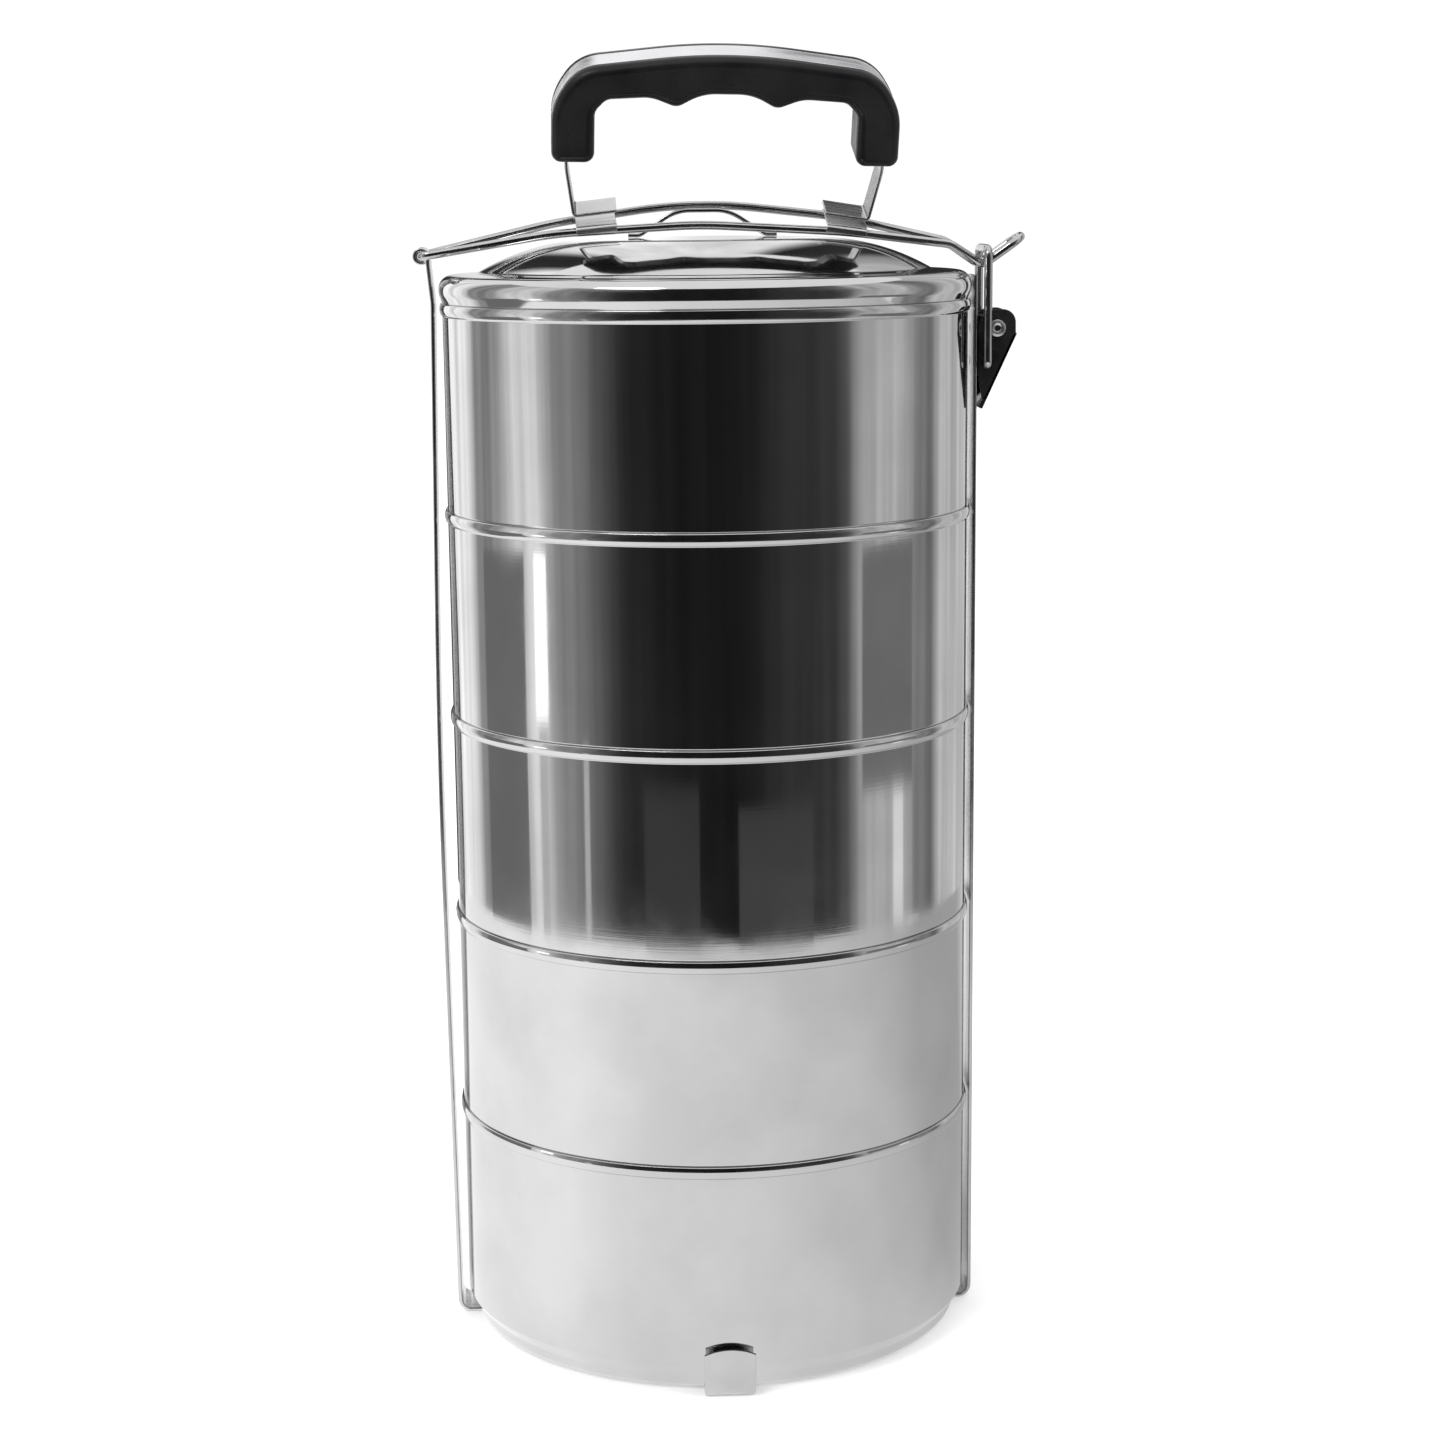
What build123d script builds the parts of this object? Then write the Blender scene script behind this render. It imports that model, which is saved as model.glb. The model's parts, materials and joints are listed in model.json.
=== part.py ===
"""Five-tier stainless steel tiffin carrier.

Millimetres, +Z up. The origin is on the axis of the stack, on the surface the carrier stands on.
+X points at the latch, -X at the hinge of the bail, -Y at the front.
"""
from build123d import *
import math
import os

# --- driving dimensions -------------------------------------------------------------------------
tiers = 5
bowl_radius = 80.0  # outside of a bowl's wall
tier_pitch = 62.5  # height that each bowl adds to the stack
sheet = 0.7  # thickness of the bowl and lid steel
nest_depth = 7.9  # height of a bowl's foot below its shoulder
foot_inset = 3.0  # how far the nesting foot stands inside the wall
bevel_height = 4.4  # height of the bevel between the foot and the shoulder
seat_gap = 0.25  # clearance between a foot's bevel and the rim that it sits in
bead_reach = 0.9  # how far the rolled rim stands out of the wall
bead_height = 3.6
foot_corner = 2.2  # outside radius at the bottom of the foot
recess_inset = 30.0  # from the wall to the raised middle of each bowl's floor
recess_height = 2.6

strap_thickness = 1.2
strap_width = 15.4
strap_corner = 3.2  # inside radius where the side strap turns up
left_strap_gap = 1.2  # rim bead to the left arm, which carries the bail
right_strap_gap = 0.5  # rim bead to the right arm, which carries the latch
left_bow = 2.0  # how far the left arm bows outwards half way up
tab_height = 15.3  # top of the front and back tabs, above the ground
tab_gap = 0.9  # rim bead to the tabs
tab_crown = 1.6  # how much the tabs' rounded tops fall at their sides
step_ramp = 4.0  # length of the cross strap's ramp up over the side strap
rivet_diameter = 4.0
rivet_head_diameter = 7.0
rivet_head_height = 0.7
rivet_recess = 0.2  # the base rivet ends this far above the ground

lid_bead_reach = 1.0  # lid bead beyond the bowls' wall
lid_bead_height = 8.0
lid_step_inset = 10.5  # from the wall to where the dome leaves the bead
lid_plateau_inset = 44.0  # from the wall to the edge of the plateau
lid_height = 18.9  # crown of the lid above its seat
lid_plateau_drop = 0.6  # fall of the plateau from the crown to its edge
lid_plug_depth = 5.2

lid_handle_centre_x = -0.8
lid_handle_span = 38.0
lid_handle_rise = 7.2
lid_handle_width = 9.0
lid_handle_thickness = 1.2
lid_handle_foot = 3.5
lid_handle_crest = 0.42  # half length of its straight crest, as a share of half the span

wire_diameter = 2.6
running_clearance = 0.05  # radial, between a wire or pin and its eye
eye_rise = 13.9  # bail's hinge line above the lid's seat
eye_jog = 1.1  # how far the strap leans out below the eye
bail_spread = 10.6  # half the distance between the bail's two wires
bend_radius = 2.7  # centre line radius of the tight bends in a wire
front_arch = 8.6  # front wire's crown above the hinge line
rear_arch = 15.4  # rear wire's crown above the hinge line
loop_spread = 5.0  # half width of the thumb loop
loop_reach = 15.4  # outside of the thumb loop, beyond the right arm
loop_end_rise = 3.9  # end of the thumb loop above the hinge line
notch_drop = 4.5  # notch under the link's crossbar, below the hinge line
notch_out = 1.9  # notch beyond the right arm's outer face
drop_back = 23.6  # thumb loop's end to where the wires drop to the notch
front_drop_rise = 1.9  # height of that place above the hinge line
rear_drop_rise = 2.7
left_run = 40.0  # first straight stretch of the wires, from the eye
front_left_share = 0.74  # share of the arch that the front wire climbs on it
rear_left_share = 0.60
crown_x = -2.0  # where the wires are highest
right_run_x = 42.0
front_right_share = 0.70
rear_right_share = 0.67

latch_sheet = 1.2
bracket_half_width = 6.2
bracket_below = 14.0  # bracket's plate below the pivot
bracket_above = 4.0
ear_radius = 3.2  # round end of each ear, about the pivot
bracket_rivet_diameter = 3.0
bracket_rivet_head = 5.2
bracket_rivet_pitch = 10.0
lever_gap = 0.3  # between the bracket's ears and the lever's cheeks
pivot_out = 6.1  # lever pivot beyond the strap's outer face
pivot_drop = 9.6  # lever pivot below the lid's seat
pin_diameter = 3.0
pin_bore = 1.8
pin_head_diameter = 5.2
pin_head_height = 0.6
lever_hook_back = 3.2  # link hole, inwards of the pivot
lever_hook_down = 11.1  # link hole, below the pivot
crossbar_rise = 0.4  # link's crossbar above the bail's hinge line

grip_centre_x = 5.2
grip_length = 103.6
grip_depth = 20.0
grip_crown = 52.2  # top of the grip above the wires, before the lean
grip_leg_bottom = 19.8
grip_leg_width = 12.8
grip_edge = 2.8  # radius of the grip's rounded edges
grip_lean = 17.0  # degrees that the handle leans to the front
grip_roll = 1.4  # degrees that its right end sits low
handle_base_rise = 9.5  # height that the handle leans about, above the hinge line
inlay_width = 11.5
inlay_thickness = 1.4
grip_strip_width = 13.0
grip_strip_thickness = 1.0
clip_length = 12.2
clip_left_x = -33.0  # middle of each clip along the bail
clip_right_x = 42.5
clip_sheet = 0.8

# --- values that follow -------------------------------------------------------------------------
wire_radius = wire_diameter / 2
bead_radius = bowl_radius + bead_reach
foot_radius = bowl_radius - foot_inset
recess_radius = bowl_radius - recess_inset
lid_step_radius = bowl_radius - lid_step_inset
lid_plateau_radius = bowl_radius - lid_plateau_inset
first_shoulder = strap_thickness + nest_depth
seat_height = first_shoulder + tiers * tier_pitch  # where the lid sits
eye_height = seat_height + eye_rise
pivot_height = seat_height - pivot_drop
link_crossbar_height = eye_height + crossbar_rise
loop_end_height = eye_height + loop_end_rise
handle_base_height = eye_height + handle_base_rise
left_inner = -(bead_radius + left_strap_gap)
right_inner = bead_radius + right_strap_gap
right_outer = right_inner + strap_thickness
tab_inner = bead_radius + tab_gap
eye_bore = wire_radius + running_clearance
eye_path_radius = eye_bore + strap_thickness / 2
eye_x = left_inner - strap_thickness / 2 - eye_jog - eye_path_radius
bevel_slope = bevel_height / (bowl_radius - foot_radius)
bevel_angle = math.atan(bevel_slope)
bevel_shift = math.tan((math.pi / 2 - bevel_angle) / 2)
pivot_x = right_outer + pivot_out
loop_end_x = right_outer + loop_reach
drop_x = loop_end_x - drop_back
notch_x = right_outer + notch_out
notch_height = eye_height - notch_drop
hook_x = pivot_x - lever_hook_back
hook_height = pivot_height - lever_hook_down
lever_inner = bracket_half_width + lever_gap
lever_outer = lever_inner + latch_sheet
pin_head_y = lever_outer + lever_gap / 3
link_y = pin_head_y + pin_head_height + lever_gap + wire_radius

parts = {}


# --- helpers --------------------------------------------------------------------------------------
def edges_of(points, radii):
    """A path of straight runs whose corners have the given radii."""
    return FilletPolyline(*points, radius=radii)


def wire_along(path, diameter):
    """Round wire along a path."""
    start = Plane(origin=path @ 0, z_dir=path % 0)
    return sweep(start * Circle(diameter / 2), path=path)


def strip_along(path, width, thickness, across):
    """Flat strip along a path, with its width along the direction across."""
    start = Plane(origin=path @ 0, x_dir=across, z_dir=path % 0)
    return sweep(start * Rectangle(width, thickness), path=path)


def plate_y(outline, low, high):
    """Plate with an outline in the XZ plane, between two places along Y."""
    face = make_face(Plane.XZ * outline)
    return Pos(0, low, 0) * extrude(face, high - low, dir=(0, 1, 0))


def cylinder_y(diameter, low, high, x, z):
    """Cylinder along Y."""
    return Pos(x, (low + high) / 2, z) * Rot(90, 0, 0) * Cylinder(diameter / 2, high - low)


def only_solid(shape):
    """The one solid of a shape that must be in one piece."""
    solids = shape.solids()
    if len(solids) != 1:
        raise ValueError(f"expected one solid, found {len(solids)}")
    return solids[0]


# --- bowls ----------------------------------------------------------------------------------------
def wall_outline(inset):
    """(radius, height) points of a bowl's foot and bevel, above its shoulder, inset by a thickness."""
    rise = inset * bevel_shift
    return [
        (foot_radius - inset, rise - bevel_height),
        (bowl_radius - inset, rise),
    ]


def bowl(shoulder):
    """One bowl: recessed floor, nesting foot, bevel, straight wall and rolled rim."""
    bottom = -nest_depth
    gap_r = seat_gap * math.sin(bevel_angle)
    gap_z = -seat_gap * math.cos(bevel_angle)
    lip_top = tier_pitch + gap_z
    lip_r = bowl_radius + gap_r
    lip_low = lip_top - (lip_r - (bowl_radius - sheet)) * bevel_slope
    bead_bottom = tier_pitch - bead_height
    outside = [
        (0, bottom + recess_height),
        (recess_radius - recess_height, bottom + recess_height),
        (recess_radius, bottom),
        (foot_radius, bottom),
        *wall_outline(0),
        (bowl_radius, bead_bottom - bead_reach),
        (bead_radius, bead_bottom),
        (bead_radius, lip_top),
        (lip_r, lip_top),
        (bowl_radius - sheet, lip_low),
        *reversed(wall_outline(sheet)),
        (foot_radius - sheet, bottom + sheet),
        (recess_radius + sheet / 2, bottom + sheet),
        (recess_radius - recess_height + sheet / 2, bottom + recess_height + sheet),
        (0, bottom + recess_height + sheet),
        (0, bottom + recess_height),
    ]
    face = make_face(Plane.XZ * Polyline(*outside))
    corners = face.vertices()

    def near(r, z):
        return corners.sort_by_distance(Vector(r, 0, z))[0]

    face = fillet_at(face, near(foot_radius, bottom), foot_corner)
    face = fillet_at(face, near(foot_radius - sheet, bottom + sheet), foot_corner - sheet)
    face = fillet_at(face, near(bead_radius, lip_top), bead_reach * 0.7)
    face = fillet_at(face, near(bowl_radius, 0), 1.2)
    return Pos(0, 0, shoulder) * only_solid(revolve(face, Axis.Z, 360))


def fillet_at(face, corner, radius):
    """Fillet of one corner of a face, found again by its place."""
    found = face.vertices().sort_by_distance(Vector(corner.X, corner.Y, corner.Z))[0]
    return fillet(found, radius)


# --- lid --------------------------------------------------------------------------------------------
def lid_body(inset):
    """Solid inside the lid's surface, inset by a thickness, above its seat."""
    rise = inset * bevel_shift
    reach = bowl_radius + lid_bead_reach - inset
    bead_top = lid_bead_height - inset
    step_top = bead_top + 0.5
    crown = lid_height - inset
    edge_fall = 2 * lid_plateau_drop / lid_plateau_radius
    bottom = -lid_plug_depth - (1 if inset else 0)
    rim = FilletPolyline(
        (foot_radius - inset, bottom),
        (foot_radius - inset, rise - bevel_height),
        (bowl_radius - inset, rise),
        (reach, rise + 2.6),
        (reach, bead_top),
        (lid_step_radius, step_top),
        radius=[0.4, 0.8, 4.0 - inset, 4.2 - inset],
    )
    shoulder = TangentArc(
        (lid_plateau_radius, crown - lid_plateau_drop),
        (lid_step_radius, step_top),
        tangent=(1, -edge_fall),
    )
    plateau = ThreePointArc(
        (0, crown),
        (lid_plateau_radius / 2, crown - lid_plateau_drop / 4),
        (lid_plateau_radius, crown - lid_plateau_drop),
    )
    axis = Polyline((0, crown), (0, bottom), (foot_radius - inset, bottom))
    face = make_face(Plane.XZ * Curve([*rim.edges(), shoulder, plateau, *axis.edges()]))
    return revolve(face, Axis.Z, 360)


def lid():
    """Domed lid with a plug that nests in the top bowl's rim."""
    shell = lid_body(0) - lid_body(sheet)
    return Pos(0, 0, seat_height) * only_solid(shell)


def lid_surface(r):
    """Height of the lid's plateau at a radius."""
    return seat_height + lid_height - lid_plateau_drop * (r / lid_plateau_radius) ** 2


def lid_handle():
    """Strap arch on the lid, with its two feet on the plateau."""
    half = lid_handle_span / 2
    foot = lid_surface(half + lid_handle_foot / 2) + lid_handle_thickness / 2 + 0.1
    crest = foot + lid_handle_rise
    stations = [(half + lid_handle_foot, foot), (half, foot), (half * lid_handle_crest, crest)]
    points = [(lid_handle_centre_x - out, 0, z) for out, z in stations]
    points += [(lid_handle_centre_x + out, 0, z) for out, z in reversed(stations)]
    arch = strip_along(edges_of(points, [3, 14, 14, 3]), lid_handle_width, lid_handle_thickness, (0, 1, 0))
    return only_solid(arch - Pos(0, 0, seat_height) * lid_body(0))


# --- frame ------------------------------------------------------------------------------------------
def side_strap():
    """Strap under the stack and up both sides, its left end rolled outwards into the bail's eye."""
    mid = strap_thickness / 2
    left = left_inner - mid
    right = right_inner + mid
    top = notch_height - wire_diameter - 0.4
    corner = strap_corner + mid
    bow_height = eye_height * 0.55
    jog_low = eye_height - 14
    neck_x = eye_x + eye_path_radius
    points = [
        (right, 0, top),
        (right, 0, mid),
        (left, 0, mid),
        (left - left_bow, 0, bow_height),
        (left, 0, jog_low),
        (neck_x, 0, eye_height - 2.5),
        (neck_x, 0, eye_height),
    ]
    arm = edges_of(points, [corner, corner, 3500, 12, 8])
    roll = [eye_arc(turn, turn + 145) for turn in (0, 145)]
    path = Wire([*arm.edges(), *roll])
    strap = strip_along(path, strap_width, strap_thickness, (0, 1, 0))
    hole = Pos(0, 0, mid) * Cylinder(rivet_diameter / 2, strap_thickness * 2)
    strap = strap - hole
    for z in bracket_rivet_heights():
        strap = strap - rivet_shank(z)
    return only_solid(strap)


def eye_arc(low, high):
    """Arc of the eye's roll between two angles, from the strap over the top."""
    def at(angle):
        a = math.radians(angle)
        return (eye_x + eye_path_radius * math.cos(a), 0, eye_height + eye_path_radius * math.sin(a))

    return ThreePointArc(at(low), at((low + high) / 2), at(high))


def cross_strap():
    """Strap across the side strap, stepped over it, with an upturned tab at the front and the back."""
    mid = strap_thickness / 2
    over = strap_width / 2 + 1.0
    reach = tab_inner + mid
    points = [
        (0, -reach, tab_height),
        (0, -reach, mid),
        (0, -over - step_ramp, mid),
        (0, -over, mid + strap_thickness),
        (0, over, mid + strap_thickness),
        (0, over + step_ramp, mid),
        (0, reach, mid),
        (0, reach, tab_height),
    ]
    path = edges_of(points, [strap_corner, 3, 3, 3, 3, strap_corner])
    strap = strip_along(path, strap_width, strap_thickness, (1, 0, 0))
    hole = Pos(0, 0, strap_thickness * 1.5) * Cylinder(rivet_diameter / 2, strap_thickness * 2)
    round_top = crown_radius(strap_width, tab_crown)
    keep = Pos(0, 0, tab_height - round_top) * Rot(90, 0, 0) * Cylinder(round_top, 3 * reach)
    low = Box(2 * strap_width, 3 * reach, 2 * (tab_height - 2 * tab_crown))
    return only_solid((strap - hole) & (keep + low))


def crown_radius(width, fall):
    """Radius of an arc over a width that falls by an amount at its ends."""
    return (width * width / 4 + fall * fall) / (2 * fall)


def base_rivet():
    """Rivet that holds the two straps together, just short of flush below and headed above."""
    length = 2 * strap_thickness - rivet_recess
    shank = Pos(0, 0, rivet_recess + length / 2) * Cylinder(rivet_diameter / 2, length)
    head_z = 2 * strap_thickness + rivet_head_height / 2
    head = Pos(0, 0, head_z) * Cylinder(rivet_head_diameter / 2, rivet_head_height)
    head = fillet(head.edges().group_by(Axis.Z)[-1], rivet_head_height * 0.6)
    return only_solid(shank + head)


# --- latch ------------------------------------------------------------------------------------------
def bracket_rivet_heights():
    """Heights of the two rivets that hold the latch bracket."""
    return (pivot_height - bracket_rivet_pitch, pivot_height)


def rivet_shank(z):
    """Shank through the strap's right arm and the bracket's plate."""
    length = strap_thickness + latch_sheet
    shank = Rot(0, 90, 0) * Cylinder(bracket_rivet_diameter / 2, length)
    return Pos(right_inner + length / 2, 0, z) * shank


def latch_bracket():
    """Channel riveted to the right arm, with an ear on each side for the lever's pivot."""
    low = pivot_height - bracket_below
    high = pivot_height + bracket_above
    plate = Pos(right_outer + latch_sheet / 2, 0, (low + high) / 2) * Box(
        latch_sheet, 2 * bracket_half_width, high - low
    )
    ear_end = pivot_x - right_outer
    ear_low = -6.0
    outline = FilletPolyline(
        (0, ear_low),
        (ear_end + ear_radius, -ear_radius),
        (ear_end + ear_radius, ear_radius),
        (0, bracket_above),
        radius=[3.0, 3.0],
    )
    side = Curve([*outline.edges(), Line((0, bracket_above), (0, ear_low))])
    body = plate
    for low_y in (-bracket_half_width, bracket_half_width - latch_sheet):
        body = body + Pos(right_outer, 0, pivot_height) * plate_y(side, low_y, low_y + latch_sheet)
    body = body - cylinder_y(pin_diameter, -20, 20, pivot_x, pivot_height)
    for z in bracket_rivet_heights():
        body = body - rivet_shank(z)
    return only_solid(body)


def bracket_rivets():
    """Two rivets, each with a head inside the bracket."""
    out = []
    for z in bracket_rivet_heights():
        head_x = right_outer + latch_sheet + rivet_head_height / 2
        head = Rot(0, 90, 0) * Cylinder(bracket_rivet_head / 2, rivet_head_height)
        out.append(only_solid(rivet_shank(z) + Pos(head_x, 0, z) * head))
    return Compound(children=out)


def lever_pin():
    """Tubular rivet that the lever turns on."""
    pin = cylinder_y(pin_diameter, -pin_head_y, pin_head_y, pivot_x, pivot_height)
    for side in (-1, 1):
        low, high = sorted((side * pin_head_y, side * (pin_head_y + pin_head_height)))
        head = cylinder_y(pin_head_diameter, low, high, pivot_x, pivot_height)
        pin = pin + head
    pin = pin - cylinder_y(pin_bore, -20, 20, pivot_x, pivot_height)
    return only_solid(pin)


def latch_lever():
    """Channel lever: two cheeks round the bracket's ears, joined by a slanted outer web."""
    clear = pivot_x - right_outer - lever_gap  # cheeks stay this near the pivot above it
    top = clear * 0.98
    heel = (5.8, -2.4)  # top of the web, from the pivot
    tail = (-clear + 1.6, -24.0)
    cheek = FilletPolyline(
        (-top, -14),
        (-top, top),
        (top, top),
        heel,
        tail,
        radius=[4.0, top * 0.97, top * 0.7, 1.0, 0.8],
        close=True,
    )
    unit = (Vector(*heel) - Vector(*tail)).normalized()
    inwards = Vector(-unit.Y, unit.X) * latch_sheet
    web_top = Vector(*heel) + unit * 0.9
    web_end = Vector(*tail) - unit * 0.6
    corners = [web_top, web_end, web_end + inwards, web_top + inwards]
    body = plate_y(Polyline(*corners, close=True), -lever_outer, lever_outer)
    for low_y in (-lever_outer, lever_inner):
        body = body + plate_y(cheek, low_y, low_y + latch_sheet)
    body = Pos(pivot_x, 0, pivot_height) * body
    bore = pin_diameter + 2 * running_clearance
    body = body - cylinder_y(bore, -20, 20, pivot_x, pivot_height)
    bore = wire_diameter + 2 * running_clearance
    body = body - cylinder_y(bore, -20, 20, hook_x, hook_height)
    return only_solid(body)


def latch_link():
    """Wire link: hooked into both cheeks of the lever, with a crossbar over the bail's wires."""
    end = lever_inner - 0.1
    points = [
        (hook_x, -end, hook_height),
        (hook_x, -link_y, hook_height),
        (hook_x, -link_y, link_crossbar_height),
        (hook_x, link_y, link_crossbar_height),
        (hook_x, link_y, hook_height),
        (hook_x, end, hook_height),
    ]
    path = edges_of(points, [1.6, bend_radius, bend_radius, 1.6])
    return only_solid(wire_along(path, wire_diameter))


# --- bail and handle --------------------------------------------------------------------------------
def bail_side(side):
    """Corner points of one long wire of the bail, from the eye to the notch. The front's side is -1."""
    wide = side * bail_spread
    if side < 0:
        arch, drop_rise = front_arch, front_drop_rise
        left_share, right_share = front_left_share, front_right_share
    else:
        arch, drop_rise = rear_arch, rear_drop_rise
        left_share, right_share = rear_left_share, rear_right_share
    return [
        (eye_x, wide, eye_height),
        (eye_x + left_run, wide, eye_height + arch * left_share),
        (crown_x, wide, eye_height + arch),
        (right_run_x, wide, eye_height + arch * right_share),
        (drop_x, side * (loop_spread + 1.6), eye_height + drop_rise),
        (notch_x, side * loop_spread, notch_height),
    ]


def bail_wire():
    """One wire: through the eye, along both sides, down to the latch notch and round the thumb loop."""
    front = bail_side(-1)
    rear = bail_side(1)
    tip_x = loop_end_x - wire_radius
    tip = [(tip_x, -loop_spread, loop_end_height), (tip_x, loop_spread, loop_end_height)]
    split = 0.4  # the wire's two ends meet inside the eye
    points = [(eye_x, -split, eye_height), *front, *tip, *reversed(rear), (eye_x, split, eye_height)]
    side_radii = [bend_radius, 120, 150, 80, 8, 2.6]
    radii = side_radii + [loop_spread - 0.3, loop_spread - 0.3] + side_radii[::-1]
    return only_solid(wire_along(edges_of(points, radii), wire_diameter))


def wire_height(x, side):
    """Height of a long wire's corner line at x, between the eye and the drop."""
    knots = [(p[0], p[2]) for p in bail_side(side)]
    for (x0, z0), (x1, z1) in zip(knots, knots[1:]):
        if x0 <= x <= x1:
            return z0 + (z1 - z0) * (x - x0) / (x1 - x0)
    raise ValueError("x is beyond the wires")


def clip_plane(x):
    """Plane of the two wires at x: its x axis runs along them and its y axis across them."""
    step = clip_length / 2
    low = [wire_height(x - step, side) for side in (-1, 1)]
    high = [wire_height(x + step, side) for side in (-1, 1)]
    along = Vector(2 * step, 0, (sum(high) - sum(low)) / 2)
    across = Vector(0, 2 * bail_spread, (low[1] + high[1] - low[0] - high[0]) / 2)
    middle = (sum(low) + sum(high)) / 4
    return Plane(origin=(x, 0, middle), x_dir=along, z_dir=along.cross(across))


def wire_clip(x, bail):
    """Folded plate over both wires, its front and rear edges turned down round them."""
    half = bail_spread + wire_radius + clip_sheet
    top = wire_radius + clip_sheet
    outer = Pos(0, 0, top - (top + 0.4) / 2) * Box(clip_length, 2 * half, top + 0.4)
    outer = fillet(outer.edges().filter_by(Axis.X).group_by(Axis.Z)[-1], top * 0.8)
    inner = Pos(0, 0, -5 + wire_radius) * Box(clip_length + 2, 2 * (half - clip_sheet), 10)
    clip = clip_plane(x) * (outer - inner)
    return only_solid(clip - bail)


def handle_place():
    """Where the upright handle goes: over the wires, rolled along them and leaning to the front."""
    return Pos(grip_centre_x, 0, handle_base_height) * Rot(grip_lean, 0, 0) * Rot(0, grip_roll, 0)


def grip_outline(inset):
    """Outer outline of the grip, closed along the bottom of its legs, inset by a distance."""
    half = grip_length / 2 - inset
    crown = grip_crown - inset
    corners = [
        (half, grip_leg_bottom),
        (half, crown - 15.6),
        (half - 7.4 + inset / 3, crown - 4.2),
        (0, crown + 1.2),
    ]
    others = [(-x, z) for x, z in corners[2::-1]]
    radii = [18 - inset, 14 - inset, 170, 14 - inset, 18 - inset]
    top = FilletPolyline(*corners, *others, radius=radii)
    return Curve([*top.edges(), Line(others[-1], corners[0])])


def grip_hollow():
    """Outline of the finger space under the grip, with three scallops."""
    half = grip_length / 2 - grip_leg_width
    ridge_x = 14.8
    corners = [
        (half, grip_leg_bottom - 5),
        (half, grip_crown - 17.0),
        (half - 3.4, grip_crown - 13.4),
        (ridge_x + 7.7, grip_crown - 12.6),
        (ridge_x, grip_crown - 15.5),
        (ridge_x / 2, grip_crown - 11.4),
    ]
    others = [(-x, z) for x, z in reversed(corners)]
    radii = [4, 4, 12, 4, 16]
    top = FilletPolyline(*corners, *others, radius=radii + radii[::-1])
    return Curve([*top.edges(), Line(others[-1], corners[0])])


def slab(outline, depth):
    """Outline in the XZ plane, extruded evenly to the front and the back."""
    return plate_y(outline, -depth / 2, depth / 2)


def inlay_band(width):
    """Band along the top of the grip, from one shoulder to the other."""
    ring = slab(grip_outline(0), width) - slab(grip_outline(inlay_thickness), width + 2)
    ends = Pos(0, 0, grip_crown) * Box(grip_length + 2, width + 2, 2 * 20.5)
    return ring & ends


def handle_strip_path():
    """Centre line of the steel strip: along both clips, up both legs and through the grip."""
    left_clip = clip_left_x - grip_centre_x
    right_clip = clip_right_x - grip_centre_x
    half = grip_length / 2 - 4.4
    top = grip_crown - 8.0
    foot = clip_length / 2
    rest = wire_radius + clip_sheet + grip_strip_thickness / 2
    return [
        (left_clip + foot, 0, rest + 2.0),
        (left_clip - foot - 0.6, 0, rest + 0.2),
        (-half, 0, grip_leg_bottom - 2),
        (-half, 0, top),
        (half, 0, top),
        (half, 0, grip_leg_bottom - 2),
        (right_clip + foot + 0.6, 0, rest + 0.2),
        (right_clip - foot, 0, rest + 2.0),
    ]


def handle_strip():
    """Steel strip that carries the grip, in the handle's upright frame."""
    path = edges_of(handle_strip_path(), [1.2, 20, 14, 14, 20, 1.2])
    return strip_along(path, grip_strip_width, grip_strip_thickness, (0, 1, 0))


def handle_grip(strip):
    """Moulded grip with rounded edges, a groove for the inlay and a slot for the strip."""
    body = slab(grip_outline(0), grip_depth) - slab(grip_hollow(), grip_depth + 2)
    feet = body.edges().filter_by(Axis.Y).filter_by(lambda e: abs(e.center().Z - grip_leg_bottom) < 0.01)
    body = fillet(feet, grip_edge + 0.2)
    sides = body.faces().sort_by(Axis.Y)
    body = fillet(sides[0].edges() + sides[-1].edges(), grip_edge)
    body = body - inlay_band(inlay_width)
    return body - strip


# --- the assembly -----------------------------------------------------------------------------------
def build():
    """Every node of the carrier, by name."""
    parts["side_strap"] = side_strap()
    parts["cross_strap"] = cross_strap()
    parts["base_rivet"] = base_rivet()
    for k in range(tiers):
        parts[f"bowl_{k + 1}"] = bowl(first_shoulder + k * tier_pitch)
    parts["lid"] = lid()
    parts["lid_handle"] = lid_handle()
    parts["latch_bracket"] = latch_bracket()
    parts["bracket_rivets"] = bracket_rivets()
    parts["lever_pin"] = lever_pin()
    parts["latch_lever"] = latch_lever()
    parts["latch_link"] = latch_link()
    parts["bail_wire"] = bail_wire()
    for name, x in (("left", clip_left_x), ("right", clip_right_x)):
        parts[f"wire_clip_{name}"] = wire_clip(x, parts["bail_wire"])
    strip = handle_strip()
    clips = parts["wire_clip_left"] + parts["wire_clip_right"]
    place = handle_place()
    parts["handle_strip"] = only_solid(place * strip - clips - parts["bail_wire"])
    parts["handle_grip"] = only_solid(place * handle_grip(strip))
    parts["handle_inlay"] = only_solid(place * inlay_band(inlay_width))


build()
os.makedirs("parts", exist_ok=True)
for name, shape in parts.items():
    export_step(shape, f"parts/{name}.step")
    print(name, round(shape.volume, 2))
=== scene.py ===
"""Five-tier stainless steel tiffin carrier on a pale studio floor.

Shapes are built in millimetres, in the CAD model's frame, and scaled to metres as they become pieces.
"""
import json
import math

import bmesh
import bpy
from mathutils import Matrix, Vector


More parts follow.
